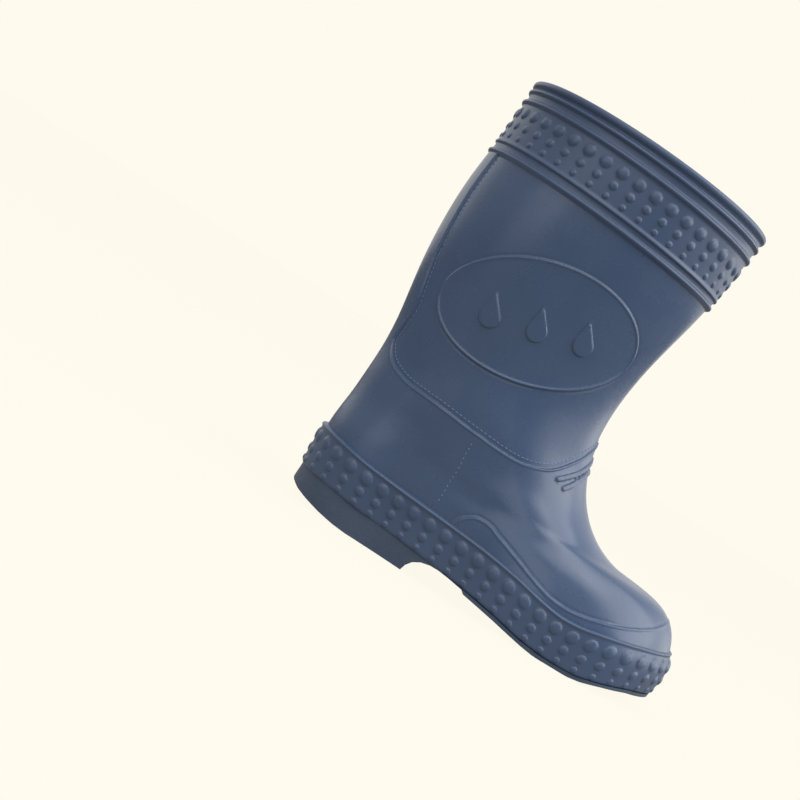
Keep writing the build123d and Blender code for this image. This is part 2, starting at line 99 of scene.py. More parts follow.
def curve(table, x):
    """Smooth curve through the points of a table, at x."""
    xs, ys = table[:, 0], table[:, 1]
    slope = np.gradient(ys, xs)
    i = np.clip(np.searchsorted(xs, x) - 1, 0, len(xs) - 2)
    h = xs[i + 1] - xs[i]
    t = (x - xs[i]) / h
    return ((1 + 2 * t) * (1 - t) ** 2 * ys[i] + t * (1 - t) ** 2 * h * slope[i]
            + t * t * (3 - 2 * t) * ys[i + 1] + t * t * (t - 1) * h * slope[i + 1])


def rows_at(w):
    """Section values at the fractional section number w."""
    w = np.clip(w, 0, LAST - 1e-6)
    i = np.floor(w).astype(int)
    f = (w - i)[:, None]
    p0 = np.where(i[:, None] > 0, SECTIONS[np.maximum(i - 1, 0)], 2 * SECTIONS[0] - SECTIONS[1])
    p1, p2 = SECTIONS[i], SECTIONS[np.minimum(i + 1, LAST)]
    p3 = np.where(i[:, None] < LAST - 1, SECTIONS[np.minimum(i + 2, LAST)],
                  2 * SECTIONS[LAST] - SECTIONS[LAST - 1])
    return ((1 - f) ** 3 * p0 + (3 * f ** 3 - 6 * f * f + 4) * p1
            + (1 + 3 * f + 3 * f * f - 3 * f ** 3) * p2 + f ** 3 * p3) / 6


def round_end(a):
    """Width share near a rounded end: 0 where a is 1, easing into 1 where a is 0 or less."""
    m = (a + np.sqrt(a * a + 0.04)) / (1 + sqrt(1.04))
    return np.sqrt(np.maximum(0, 1 - m * m))


# gentle swells (x, z, half lengths, share of the width) that round the vamp over the side
SOFTER = [(94, 33.5, 20, 4, -0.04), (92, 40, 22, 5, 0.05),
          (56, 27, 26, 8, 0.03), (56, 42, 24, 9, -0.025)]


def surface(t, w):
    """Leg-and-foot surface, mm; t goes once round from the back by the outer side."""
    xb, zb, xf, zf, heel, toe, hw, ww, bw, follow = rows_at(w).T
    length = np.hypot(xf - xb, zf - zb)
    u = (1 - np.cos(2 * pi * t)) / 2
    along = u * length
    heel_g = round_end(1 - along / heel)
    toe_g = round_end(1 - (length - along) / toe)
    width = hw + (ww - hw) * ease((u - 0.18) / 0.2) + (bw - ww) * ease((u - 0.36) / 0.3)
    bend = 4.6 * ease((u - 0.2) / 0.25) - 2.4 * ease((u - 0.55) / 0.2)
    bend = bend - 2.2 * ease((u - 0.85) / 0.15)
    soft = 4.6 * ease((u - 0.12) / 0.38) * (1 - ease((u - 0.45) / 0.55))
    bend = bend + (soft - bend) * ease((w - 3.0) / 4.0)
    side = np.where(np.mod(t, 1.0) <= 0.5, -1.0, 1.0)
    y = side * width * heel_g * toe_g - follow * bend
    x, z = xb + (xf - xb) * u, zb + (zf - zb) * u
    for cx, cz, rx, rz, share in SOFTER:
        y = y * (1 + share * np.exp(-((x - cx) / rx) ** 2 - ((z - cz) / rz) ** 2))
    return np.stack([x - MID_X, y, z], axis=1)


def surface_normal(t, w):
    e = 2e-3
    lo, hi = np.maximum(w - e * 8, 0), np.minimum(w + e * 8, LAST - 1e-5)
    dt = surface(t + e, w) - surface(t - e, w)
    dw = surface(t, hi) - surface(t, lo)
    n = np.cross(dt, dw)
    return n / np.linalg.norm(n, axis=1)[:, None]


def solve_w(t, target):
    """Section number where target(x from heel, z) is zero on each turn t (it grows with w)."""
    lo, hi = np.zeros(len(t)), np.full(len(t), LAST - 1e-6)
    for _ in range(26):
        mid = (lo + hi) / 2
        p = surface(t, mid)
        below = target(p[:, 0] + MID_X, p[:, 2]) < 0
        lo = np.where(below, mid, lo)
        hi = np.where(below, hi, mid)
    return (lo + hi) / 2


def spot(x, z):
    """(t, w) on the outer side for a side-view point, x from the heel."""
    t, w = 0.25, 10.0
    for _ in range(40):
        a = surface(np.array([t, t + 1e-4, t]), np.array([w, w, w + 1e-3]))
        fx, fz = a[0, 0] + MID_X - x, a[0, 2] - z
        jt, jw = (a[1] - a[0]) / 1e-4, (a[2] - a[0]) / 1e-3
        det = jt[0] * jw[2] - jw[0] * jt[2]
        dt = -(fx * jw[2] - jw[0] * fz) / det
        dw = -(jt[0] * fz - jt[2] * fx) / det
        t = min(max(t + max(-0.03, min(0.03, dt)), 0.004), 0.499)
        w = min(max(w + max(-1.0, min(1.0, dw)), 0.0), LAST - 0.01)
    return t, w


def smooth_path(points, count):
    """Smooth open curve through points of any dimension, evenly sampled."""
    p = np.array(points, float)
    seg = np.r_[0, np.cumsum(np.linalg.norm(np.diff(p, axis=0), axis=1))]
    m = np.gradient(p, seg, axis=0)
    s = np.linspace(0, seg[-1], count)
    i = np.clip(np.searchsorted(seg, s) - 1, 0, len(seg) - 2)
    h = (seg[i + 1] - seg[i])[:, None]
    t = (s - seg[i])[:, None] / h
    return ((1 + 2 * t) * (1 - t) ** 2 * p[i] + t * (1 - t) ** 2 * h * m[i]
            + t * t * (3 - 2 * t) * p[i + 1] + t * t * (t - 1) * h * m[i + 1])


def nearest(points, path, chunk=3000):
    """Distance to a polyline and the length along it, for many points."""
    a, b = path[:-1], path[1:]
    d = b - a
    dd = (d * d).sum(1)
    gone = np.r_[0, np.cumsum(np.sqrt(dd))]
    dist, along = np.empty(len(points)), np.empty(len(points))
    for k in range(0, len(points), chunk):
        p = points[k:k + chunk]
        q = p[:, None, :] - a[None]
        s = np.clip((q * d[None]).sum(2) / dd[None], 0, 1)
        r = q - s[..., None] * d[None]
        e = (r * r).sum(2)
        j = e.argmin(1)
        rows = np.arange(len(p))
        dist[k:k + chunk] = np.sqrt(e[rows, j])
        along[k:k + chunk] = gone[j] + s[rows, j] * np.sqrt(dd[j])
    return dist, along


def inside(x, z, polygon):
    """Even-odd test of side-view points in a polygon."""
    hit = np.zeros(len(x), bool)
    for (xa, za), (xb, zb) in zip(polygon, np.roll(polygon, -1, axis=0)):
        if za == zb:
            continue
        cross = (za > z) != (zb > z)
        hit ^= cross & (x < (xb - xa) * (z - za) / (zb - za) + xa)
    return hit


# ---------------------------------------------------------------- mesh with feature lines
class Sheet:
    """Triangles over two parameters, split along level lines of given fields."""

    def __init__(self, a, b):
        rows, cols = a.shape
        self.a, self.b = a.ravel(), b.ravel()
        i, j = np.meshgrid(np.arange(rows - 1), np.arange(cols - 1), indexing="ij")
        p = (i * cols + j).ravel()
        q, r, s = p + 1, p + cols + 1, p + cols
        odd = ((i + j) % 2 == 1).ravel()
        one = np.where(odd[:, None], np.stack([p, q, s], 1), np.stack([p, q, r], 1))
        two = np.where(odd[:, None], np.stack([q, r, s], 1), np.stack([p, r, s], 1))
        self.tris = np.concatenate([one, two])

    def split(self, field, levels, tol=0.015):
        value = field(self.a, self.b)
        for level in levels:
            f = value - level
            f[np.abs(f) < tol] = 0
            sign = np.sign(f).astype(int)
            tri = self.tris
            s = sign[tri]
            cross = np.stack([s[:, 0] * s[:, 1], s[:, 1] * s[:, 2], s[:, 2] * s[:, 0]], 1) == -1
            count = cross.sum(1)
            if not count.any():
                continue
            ends = np.stack([tri[:, [0, 1]], tri[:, [1, 2]], tri[:, [2, 0]]], 1)
            lo, hi = ends.min(2), ends.max(2)
            key = lo.astype(np.int64) * len(self.a) + hi
            keys, back = np.unique(key[cross], return_inverse=True)
            u, v = keys // len(self.a), keys % len(self.a)
            share = f[u] / (f[u] - f[v])
            new = np.full(cross.shape, -1)
            new[cross] = len(self.a) + back
            self.a = np.r_[self.a, self.a[u] + (self.a[v] - self.a[u]) * share]
            self.b = np.r_[self.b, self.b[u] + (self.b[v] - self.b[u]) * share]
            value = np.r_[value, np.full(len(u), float(level))]
            made = [tri[count == 0]]
            for k in range(3):
                n, m = (k + 1) % 3, (k + 2) % 3
                hit = (count == 2) & cross[:, k] & cross[:, m]
                t, e = tri[hit], new[hit]
                a, b, c, p, q = t[:, k], t[:, n], t[:, m], e[:, k], e[:, m]
                made += [np.stack([a, p, q], 1), np.stack([p, b, c], 1), np.stack([p, c, q], 1)]
                hit = (count == 1) & cross[:, k]
                t, e = tri[hit], new[hit]
                a, b, c, p = t[:, k], t[:, n], t[:, m], e[:, k]
                made += [np.stack([a, p, c], 1), np.stack([p, b, c], 1)]
            self.tris = np.concatenate(made)


def make_mesh(name, points, tris, weld=2e-6):
    """Blender object from points in mm and triangles, welded, with area-weighted normals."""
    key = np.round(points / (weld * 1e3)).astype(np.int64)
    _, first, back = np.unique(key, axis=0, return_index=True, return_inverse=True)
    back = back.ravel()
    pts, tri = points[first], back[tris]
    good = (tri[:, 0] != tri[:, 1]) & (tri[:, 1] != tri[:, 2]) & (tri[:, 2] != tri[:, 0])
    tri = tri[good]
    n = np.cross(pts[tri[:, 1]] - pts[tri[:, 0]], pts[tri[:, 2]] - pts[tri[:, 0]])
    normal = np.zeros_like(pts)
    for k in range(3):
        for axis in range(3):
            normal[:, axis] += np.bincount(tri[:, k], n[:, axis], minlength=len(pts))
    size = np.linalg.norm(normal, axis=1)
    normal[size > 0] /= size[size > 0][:, None]
    mesh = bpy.data.meshes.new(name)
    mesh.from_pydata((pts / 1000).tolist(), [], tri.tolist())
    mesh.validate()
    mesh.shade_smooth()
    if len(mesh.vertices) == len(normal):
        mesh.normals_split_custom_set_from_vertices(normal.tolist())
    obj = bpy.data.objects.new(name, mesh)
    bpy.context.scene.collection.objects.link(obj)
    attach(obj, "root")
    return obj


# ---------------------------------------------------------------- relief of the leg and foot
def rim_line(x):
    return RIM_Z + RIM_SLOPE * x


def on_line(t, line, shift):
    """Section number on each turn t where the surface is shift above a side-view line."""
    return solve_w(t, lambda x, z: z - (line(x) + shift))


def foxing_top(x):
    return curve(FOXING_TOP, x)


def path_tw(points, count, start=(), end=()):
    """Smooth curve in (t, w) through side-view points, with given ends in (t, w)."""
    knots = np.array(list(start) + [spot(x, z) for x, z in points] + list(end))
    stretch = np.array([110.0, 4.3])  # about one mm in each direction
    return smooth_path(knots * stretch, count) / stretch


def mirrored(tw):
    return np.stack([1 - tw[:, 0], tw[:, 1]], 1)


def at(tw):
    return surface(tw[:, 0], tw[:, 1])


def both(tw):
    """One 3-D polyline through a curve on the outer side and its mirror image inside."""
    return np.concatenate([at(tw), at(mirrored(tw))[::-1][1:]])


seam_tw = path_tw(SEAM, 260, start=[(0.060, 21.0), (0.060, 18.0), (0.064, 16.4), (0.073, 14.5)],
                  end=[(0.5, 13.95)])
seam_line = both(seam_tw)
seam_xz = at(seam_tw)[:, [0, 2]]
seam_poly = np.concatenate([[(-100, seam_xz[0, 1])], seam_xz, [(60, seam_xz[-1, 1])],
                            [(100, -20)], [(-100, -20)]])
guard_tw = path_tw(GUARD, 220, end=[(0.47, 6.42), (0.5, 6.5)])
guard_line = both(guard_tw)
guard_xz = at(guard_tw)[:, [0, 2]]
guard_poly = np.concatenate([guard_xz, [(100, guard_xz[-1, 1])], [(100, -20)],
                             [(guard_xz[0, 0], -20)]])
bar_lines = [both(path_tw(points, 60, end=[(0.5, top)])) for points, top in BARS]


def signed(points, line, polygon):
    d, _ = nearest(points, line)
    return np.where(inside(points[:, 0], points[:, 2], polygon), -d, d)


def seam_field(t, w):
    """Distance to the lap seam: negative on the vamp and counter piece."""
    return signed(surface(t, w), seam_line, seam_poly)


def guard_field(t, w):
    """Distance to the edge of the toe guard: negative on the guard."""
    return signed(surface(t, w), guard_line, guard_poly)


def bar_field(t, w):
    p = surface(t, w)
    return np.min([nearest(p, line)[0] for line in bar_lines], axis=0)


BADGE_X, BADGE_Z, TURN = 42.2, 91.0, radians(14.7)
BADGE_LONG, BADGE_SHORT = 33.5, 20.2  # half axes


def badge_axes(t, w):
    """Position on the badge, along and across its long axis; far away off the outer side."""
    p = surface(t, w)
    x, z = p[:, 0] + MID_X - BADGE_X, p[:, 2] - BADGE_Z
    along, up = x * cos(TURN) + z * sin(TURN), -x * sin(TURN) + z * cos(TURN)
    return along, np.where(p[:, 1] < 0, up, up + 500)


def badge_field(t, w):
    """Distance to the oval's edge, negative on the plaque."""
    u, v = badge_axes(t, w)
    k = np.sqrt((u / BADGE_LONG) ** 2 + (v / BADGE_SHORT) ** 2) + 1e-9
    g = np.sqrt((u / BADGE_LONG ** 2) ** 2 + (v / BADGE_SHORT ** 2) ** 2) + 1e-9
    return k * (k - 1) / g


def drop_field(t, w):
    """Distance to the nearest raindrop outline, negative inside; tip up."""
    u, v = badge_axes(t, w)
    best = np.full(len(u), 1e3)
    big, small, rise = 3.5, 0.35, 7.6
    lean = (big - small) / rise
    side = sqrt(1 - lean * lean)
    for centre in (-15.5, 0.0, 15.5):
        px, py = np.abs(u - centre), v + 2.6
        k = -lean * px + side * py
        d = np.where(k < 0, np.hypot(px, py) - big, px * side + py * lean - big)
        d = np.where(k > side * rise, np.hypot(px, py - rise) - small, d)
        best = np.minimum(best, d)
    return best


def step_up(depth, radius):
    """Rounded step from 0 to 1 over radius, for a depth measured inwards from the edge."""
    return np.sqrt(np.clip(1 - (1 - np.clip(depth / radius, 0, 1)) ** 2, 0, 1))


def bead_shape(v):
    """Round bead: 1 at v = 0, falling to 0 at v = -1 and 1."""
    return np.clip(1 - v * v, 0, 1) ** 1.2


# relief over the plain surface, mm: rise of each layer and of the bead along its edge
SEAM_RISE, SEAM_BEAD, SEAM_COVE = 0.42, 0.26, 0.06
GUARD_RISE, GUARD_BEAD, GUARD_COVE = 0.42, 0.24, 0.07
GUARD_RISE_TOE, GUARD_BEAD_TOE, GUARD_COVE_TOE = 0.28, 0.14, 0.04  # less by this at the toe
BADGE_RISE, BADGE_BEAD, BADGE_COVE = 0.32, 0.3, 0.1
BAR_HALF, BAR_RISE = 1.0, 0.62
DROP_RISE, PARTING_RISE = 0.62, 0.06


def skin_height(t, w):
    """Relief over the plain surface, mm."""
    p = surface(t, w)
    s = -seam_field(t, w)
    h = SEAM_RISE * step_up(s, 0.45) * (s > 0) + SEAM_BEAD * bead_shape((s - 0.5) / 0.55)
    h -= SEAM_COVE * bead_shape((s + 0.5) / 0.5)
    g = -guard_field(t, w)
    front = ease((p[:, 0] - 42) / 20)
    h += (GUARD_RISE - GUARD_RISE_TOE * front) * step_up(g, 0.5) * (g > 0)
    h += (GUARD_BEAD - GUARD_BEAD_TOE * front) * bead_shape((g - 0.56) / 0.62)
    h -= (GUARD_COVE - GUARD_COVE_TOE * front) * bead_shape((g + 0.6) / 0.6)
    h += BAR_RISE * step_up(BAR_HALF - bar_field(t, w), 0.8)
    s = -badge_field(t, w)
    h += BADGE_RISE * step_up(s, 0.4) * (s > 0) + BADGE_BEAD * bead_shape((s - 0.5) / 0.62)
    h -= BADGE_COVE * bead_shape((s + 0.45) / 0.45)
    s = np.clip(-drop_field(t, w), 0, None)
    h += DROP_RISE * step_up(s, 0.75)
    h += PARTING_RISE * np.exp(-(p[:, 1] / 0.25) ** 2) * ((p[:, 0] > 20) & (p[:, 2] < 60))
    return h


LEG_COLUMNS, LEG_ROWS = 281, 125
cols = np.linspace(0, 1, LEG_COLUMNS)
w_low = on_line(cols, foxing_top, -3.0)
w_high = on_line(cols, rim_line, -27.5)
frac = np.linspace(0, 1, LEG_ROWS)[:, None]
grid_w = w_low[None] + (w_high - w_low)[None] * frac
grid_t = np.repeat(cols[None], len(frac), axis=0)
sheet = Sheet(grid_t, grid_w)
sheet.split(seam_field, (1.0, 0.75, 0.5, 0.25, 0.0, -0.08, -0.25, -0.4, -0.55, -0.7, -0.87, -1.02,
                         -1.17))
sheet.split(guard_field, (1.2, 0.9, 0.6, 0.3, 0.0, -0.08, -0.25, -0.42, -0.6, -0.8, -1.0, -1.26))
sheet.split(bar_field, (1.02, 0.98, 0.9, 0.75, 0.55, 0.3, 0.12))
sheet.split(badge_field, (0.9, 0.65, 0.4, 0.2, 0.0, -0.06, -0.18, -0.34, -0.5, -0.68, -0.88, -1.12))
sheet.split(drop_field, (0.1, 0.0, -0.06, -0.16, -0.36, -0.75, -1.2))
sheet.split(lambda t, w: surface(t, w)[:, 1] + 200 * (np.abs(t - 0.5) > 0.2),
            (-0.45, -0.22, 0.0, 0.22, 0.45))
normal = surface_normal(sheet.a, sheet.b)
pts = surface(sheet.a, sheet.b) + normal * skin_height(sheet.a, sheet.b)[:, None]
leg = make_mesh("leg_and_foot", pts, sheet.tris)
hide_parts("upper_shell", "vamp_and_counter", "toe_guard", "instep_bars", "badge_plaque",
            "badge_raindrops")


# ---------------------------------------------------------------- bands that run round the boot
def stud_field(s, depth, share, total, count, rows):
    """Distance to the nearest stud over its radius, and that stud's height."""
    pitch = total / count
    gap = np.abs(np.mod(s + pitch / 2, pitch) - pitch / 2)
    best, height = np.full(len(s), 50.0), np.zeros(len(s))
    for place, tilt, radius, rise in rows:
        d = np.hypot(gap, depth - place - tilt * share) / radius
        height = np.where(d < best, rise, height)
        best = np.minimum(best, d)
    return best, height


def band(name, line, profile, share_of, ref, count, stud_rows, columns, extra=None):
    """Closed ring swept round the boot: profile rows are (depth a, tilt b, height)."""
    prof = np.array(profile, float)
    q = np.arange(len(prof), dtype=float)
    ref_t = np.linspace(0, 1, 2881)
    ref_p = surface(ref_t, on_line(ref_t, line, -ref))
    gone = np.r_[0, np.cumsum(np.linalg.norm(np.diff(ref_p, axis=0), axis=1))]
    share_t = share_of(ref_p[:, 0] + MID_X)

    def share_at(t):
        return np.interp(np.mod(t, 1.0), ref_t, share_t)

    def depth_of(t, r):
        return np.interp(r, q, prof[:, 0]) + np.interp(r, q, prof[:, 1]) * share_at(t)

    ring = Sheet(np.repeat(np.linspace(0, 1, columns)[None], len(q), axis=0),
                 np.repeat(q[:, None], columns, axis=1))

    def studs_at(t, r):
        s = np.interp(np.mod(t, 1.0), ref_t, gone)
        d, rise = stud_field(s, depth_of(t, r), share_at(t), gone[-1], count, stud_rows)
        h = np.interp(r, q, prof[:, 2])
        return np.where(h < 0.3, 50.0, d), rise

    ring.split(lambda t, r: studs_at(t, r)[0], (1.3, 1.1, 0.98, 0.86, 0.7, 0.45, 0.2), 0.01)
    d, rise = studs_at(ring.a, ring.b)
    h = np.interp(ring.b, q, prof[:, 2])
    dome = np.sqrt(np.clip(1 - (d / 1.02) ** 2, 0, 1)) * (d < 1.02)
    dome = np.maximum(dome, 0.1 * ease((1.3 - d) / 0.3)) - 0.1 * ease((1.3 - d) / 0.3) * (d > 1.1)
    h = h + rise * dome
    depth = depth_of(ring.a, ring.b)
    if extra is not None:
        h = h + extra(ring.a, depth)
    lo_w, hi_w = np.zeros(len(depth)), np.full(len(depth), LAST - 1e-6)
    for _ in range(24):
        mid = (lo_w + hi_w) / 2
        p = surface(ring.a, mid)
        below = p[:, 2] < line(p[:, 0] + MID_X) - depth
        lo_w, hi_w = np.where(below, mid, lo_w), np.where(below, hi_w, mid)
    w = (lo_w + hi_w) / 2
    pts = surface(ring.a, w) + surface_normal(ring.a, w) * h[:, None]
    return make_mesh(name, pts, ring.tris)


def bead(centre, tilt, half, low, high):
    """Rounded bead, from below it to above it, as profile rows."""
    rows = []
    for k in range(9):
        v = -1.25 + 2.5 * k / 8
        lift = (1 - abs(v) ** 2.2) ** 0.7 if abs(v) < 1 else 0.0
        rows.append((centre - v * half, tilt, low + (high - low) * lift))
    return rows


def dense(rows, pitch):
    """Profile rows with extra rows so that none is further apart than pitch."""
    out = [rows[0]]
    for a, b in zip(rows, rows[1:]):
        n = max(1, int(np.ceil(np.hypot(b[0] - a[0] + 14.5 * (b[1] - a[1]) * (abs(b[0] - a[0]) > 2),
                                        b[2] - a[2]) / pitch)))
        out += [tuple(np.array(a) + (np.array(b) - np.array(a)) * k / n) for k in range(1, n + 1)]
    return out


def closed(rows):
    return dense(rows, 0.7) + [rows[0]]


LOW, ROW = 1.9, 2.5
collar_profile = ([(29.0, LOW, -1.0), (29.0, LOW, -0.1), (28.6, LOW, 0.12)]
                  + bead(27.3, LOW, 0.9, 0.34, 1.25)
                  + [(25.7, LOW, 0.32), (24.7, 2.2, 0.32), (24.3, 2.3, 0.42), (24.1, 2.4, 0.78),
                     (23.9, ROW, 1.0), (23.6, ROW, 1.08), (23.2, ROW, 0.95), (22.8, ROW, 0.7),
                     (22.4, ROW, 0.6), (9.6, 1.9, 0.6)] + bead(7.95, 1.6, 0.95, 0.6, 1.6)
                  + [(6.3, 1.4, 0.55), (5.5, 1.2, 0.6)] + bead(4.0, 1.0, 0.9, 0.62, 1.6)
                  + [(2.85, 0.4, 0.62), (2.5, 0.1, 0.78), (2.3, 0, 1.14), (2.0, 0, 1.45),
                     (1.6, 0, 1.6), (1.2, 0, 1.64), (0.7, 0, 1.55), (0.3, 0, 1.25),
                     (0.08, 0, 0.8), (0.0, 0, 0.2), (0.0, 0, -1.0), (0.08, 0, -1.6),
                     (0.35, 0, -2.1), (0.8, 0, -2.4), (1.5, 0, -2.5), (8.0, 0, -2.5),
                     (8.4, 0, -2.2), (8.4, 0, -1.0)])
# stud rows: depth under the line, its tilt towards the toe, radius and rise
COLLAR_STUDS = [(12.35, 2.6, 1.95, 0.78), (17.2, 2.5, 1.35, 0.62), (21.1, 2.55, 1.0, 0.48)]
FOXING_STUDS = [(0.3, 0.27, 2.1, 0.68), (0.3, 0.6, 1.5, 0.56), (0.3, 0.86, 1.05, 0.45)]
COLLAR_COUNT, FOXING_COUNT = 40, 52  # studs in a row, all round
COLLAR_FRONT = 84.0  # where the collar's tilt is fully reached
collar = band("studded_collar", rim_line, closed(collar_profile), lambda x: x / COLLAR_FRONT,
              17.0, COLLAR_COUNT, COLLAR_STUDS, 341)
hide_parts("collar_band", "rim_bead", "collar_studs")


def band_drop(x):
    return foxing_top(x) - curve(FOXING_BOTTOM, x)


def toe_bulge(t, depth):
    """The band stands out a little more half-way down round the toe."""
    front = ease((0.16 - np.abs(np.mod(t, 1.0) - 0.5)) / 0.1)
    swell = np.clip(np.sin(pi * np.clip((depth - 1.5) / 13.0, 0, 1)), 0, 1)
    return front * (0.45 * swell - 0.75 * ease((5.0 - depth) / 5.0) * (depth > -0.3))


foxing_profile = [(0.4, 0, -0.9), (-0.25, 0, -0.5), (-0.22, 0, 0.5), (-0.12, 0, 1.1),
                  (0.02, 0, 1.62), (0.22, 0, 2.0), (0.5, 0, 2.2), (0.8, 0, 2.2),
                  (1.05, 0, 2.02), (1.3, 0, 1.84), (1.65, 0, 1.75), (-1.3, 1, 1.75),
                  (-0.75, 1, 1.68), (-0.35, 1, 1.42), (-0.1, 1, 1.05), (0.0, 1, 0.6),
                  (0.0, 1, -0.9)]
foxing = band("studded_foxing", foxing_top, closed(foxing_profile), band_drop,
              10.0, FOXING_COUNT, FOXING_STUDS, 421, toe_bulge)
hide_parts("foxing_band", "foxing_studs")


# ---------------------------------------------------------------- mock stitches
def dashes(name, tw_list, shift, pitch, length, width, height):
    """Small rounded dashes on the surface, along curves moved sideways by shift."""
    verts, tris = [], []
    ring = [(cos(2 * pi * k / 10), sin(2 * pi * k / 10)) for k in range(10)]
    for tw, sign in tw_list:
        p = at(tw)
        n = surface_normal(tw[:, 0], tw[:, 1])
        gone = np.r_[0, np.cumsum(np.linalg.norm(np.diff(p, axis=0), axis=1))]
        for s in np.arange(pitch, gone[-1] - pitch * 0.5, pitch):
            c = np.array([np.interp(s, gone, p[:, k]) for k in range(3)])
            d = np.array([np.interp(s + 0.5, gone, p[:, k]) for k in range(3)]) - c
            up = np.array([np.interp(s, gone, n[:, k]) for k in range(3)])
            up /= np.linalg.norm(up)
            d -= up * d.dot(up)
            d /= np.linalg.norm(d)
            side = np.cross(up, d) * sign
            c = c + side * shift
            k0 = len(verts)
            for scale, lift in ((1.0, -0.06), (0.86, 0.55), (0.5, 0.92)):
                for cx, sx in ring:
                    along = (length - width) / 2 * (1 if cx > 0 else -1) + cx * scale * width / 2
                    verts.append(c + d * along + side * sx * scale * width / 2
                                 + up * height * lift)
            verts.append(c + up * height)
            for r in range(2):
                for k in range(10):
                    a, b = k0 + r * 10 + k, k0 + r * 10 + (k + 1) % 10
                    tris += [(a, b, b + 10), (a, b + 10, a + 10)]
            tris += [(k0 + 20 + k, k0 + 20 + (k + 1) % 10, k0 + 30) for k in range(10)]
    return make_mesh(name, np.array(verts), np.array(tris))


cut = seam_tw[6:-2]
dashes("seam_stitches", [(cut, 1.0), (mirrored(cut), -1.0)], 1.55, 1.65, 1.05, 0.42, 0.16)
side_tw = path_tw([(44.6, 48.6), (45.0, 40), (45.2, 32), (45.2, 24.4)], 60)
dashes("side_stitches", [(side_tw, 1.0), (mirrored(side_tw), -1.0)], 0.0, 1.75, 1.0, 0.85, 0.5)

# ---------------------------------------------------------------- materials
class Nodes:
    """A material's node tree with short calls."""

    def __init__(self, name):
        self.mat = bpy.data.materials.new(name)
        self.mat.use_nodes = True
        self.tree = self.mat.node_tree
        self.shader = self.tree.nodes["Principled BSDF"]
        self.place = self.add("ShaderNodeTexCoord").outputs["Object"]

    def add(self, kind, **values):
        node = self.tree.nodes.new(kind)
        for key, value in values.items():
            setattr(node, key, value)
        return node

    def link(self, a, b):
        self.tree.links.new(a, b)

    def noise(self, size_mm, detail=2.0, rough=0.5):
        """Noise with features about size_mm across."""
        n = self.add("ShaderNodeTexNoise")
        n.inputs["Scale"].default_value = 1000 / size_mm
        n.inputs["Detail"].default_value = detail
        n.inputs["Roughness"].default_value = rough
        self.link(self.place, n.inputs["Vector"])
        return n.outputs["Fac"]

    def cells(self, size_mm):
        """Distance to scattered points about size_mm apart."""
        n = self.add("ShaderNodeTexVoronoi")
        n.inputs["Scale"].default_value = 1000 / size_mm
        self.link(self.place, n.inputs["Vector"])
        return n.outputs["Distance"]

    def span(self, source, low, high, to_low, to_high):
        n = self.add("ShaderNodeMapRange")
        for key, value in zip(("From Min", "From Max", "To Min", "To Max"),
                              (low, high, to_low, to_high)):
            n.inputs[key].default_value = value
        self.link(source, n.inputs["Value"])
        return n.outputs["Result"]

    def ramp(self, source, *stops):
        n = self.add("ShaderNodeValToRGB")
        e = n.color_ramp.elements
        while len(e) < len(stops):
            e.new(0.5)
        for k, (at_value, colour) in enumerate(stops):
            e[k].position = at_value
            e[k].color = (*colour, 1)
        self.link(source, n.inputs["Fac"])
        return n.outputs["Color"]

    def math(self, kind, a, b):
        n = self.add("ShaderNodeMath", operation=kind)
        for k, v in enumerate((a, b)):
            if isinstance(v, (int, float)):
                n.inputs[k].default_value = v
            else:
                self.link(v, n.inputs[k])
        return n.outputs[0]

    def bump(self, height, distance_mm, strength=1.0, below=None):
        n = self.add("ShaderNodeBump")
        n.inputs["Distance"].default_value = distance_mm / 1000
        n.inputs["Strength"].default_value = strength
        self.link(height, n.inputs["Height"])
        if below is not None:
            self.link(below, n.inputs["Normal"])
        return n.outputs["Normal"]

    def finish(self, colour=None, rough=None, normal=None, **sockets):
        for key, source in (("Base Color", colour), ("Roughness", rough), ("Normal", normal)):
            if source is not None:
                self.link(source, self.shader.inputs[key])
        for key, value in sockets.items():
            self.shader.inputs[key.replace("_", " ")].default_value = value
        return self.mat


def moulded(name, tone, gloss, peel, haze):
    """Moulded PVC: soft cloudiness, flow haze and orange peel."""
    n = Nodes(name)
    dark, light = [c * 0.93 for c in tone], [c * 1.08 for c in tone]
    colour = n.ramp(n.noise(34, 3.0), (0.3, dark), (0.7, light))
    rough = n.span(n.noise(11, 4.0, 0.6), 0.3, 0.7, gloss - haze, gloss + haze)
    normal = n.bump(n.noise(3.2, 3.0, 0.55), peel, 1.0)
    normal = n.bump(n.noise(0.5, 1.0), peel * 0.12, 1.0, normal)
    return n.finish(colour, rough, normal, Specular_IOR_Level=0.5, IOR=1.5)


def eroded(name, tone, gloss, grain_mm, depth_mm):
    """Matte moulded face with the fine grain of a spark-eroded mould."""
    n = Nodes(name)
    dark, light = [c * 0.84 for c in tone], [c * 1.14 for c in tone]
    fine = n.noise(grain_mm, 2.0, 0.6)
    colour = n.ramp(n.math("ADD", n.math("MULTIPLY", fine, 0.6),
                           n.math("MULTIPLY", n.noise(21, 3.0), 0.4)), (0.36, dark), (0.64, light))
    rough = n.span(n.noise(2.2, 3.0), 0.3, 0.7, gloss - 0.07, gloss + 0.07)
    normal = n.bump(fine, depth_mm, 1.0)
    normal = n.bump(n.noise(grain_mm * 3.4, 2.0), depth_mm * 1.2, 1.0, normal)
    return n.finish(colour, rough, normal, Specular_IOR_Level=0.5, IOR=1.5)


